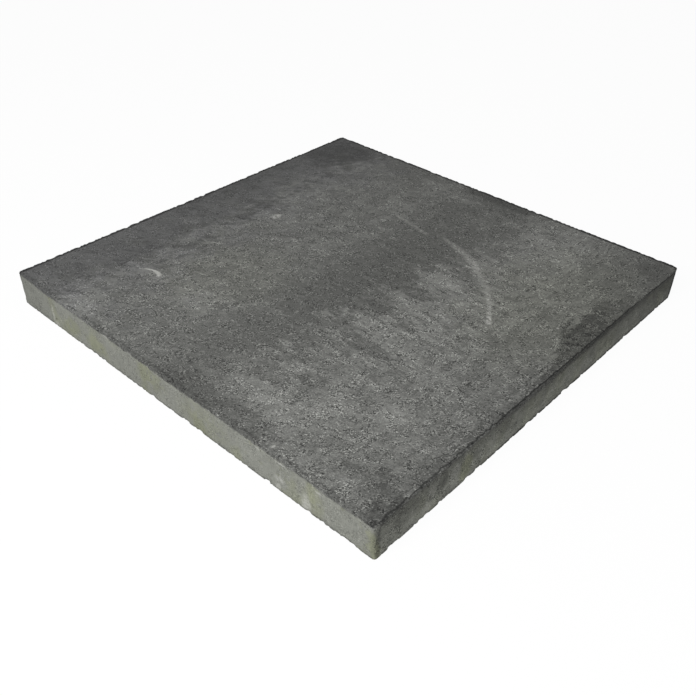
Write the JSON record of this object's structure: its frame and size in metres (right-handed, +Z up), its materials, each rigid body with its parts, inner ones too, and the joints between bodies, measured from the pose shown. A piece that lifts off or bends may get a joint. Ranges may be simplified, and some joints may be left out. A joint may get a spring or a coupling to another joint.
{
  "type": "concrete paving slab",
  "caption": "Square pressed-concrete paving slab with eased arrises, a dark walking face over paler sides, and lightly knocked edges.",
  "frame": {"origin": "centre of the bed face, on the ground that the slab lies on", "axes": "+Z up through the walking face; +X and +Y along the two sides; the picture looks from +X and -Y"},
  "size_m": [0.6, 0.6, 0.047],
  "materials": {
    "concrete": "matte"
  },
  "bodies": {
    "root": {"slab": "concrete"}
  },
  "joints": []
}
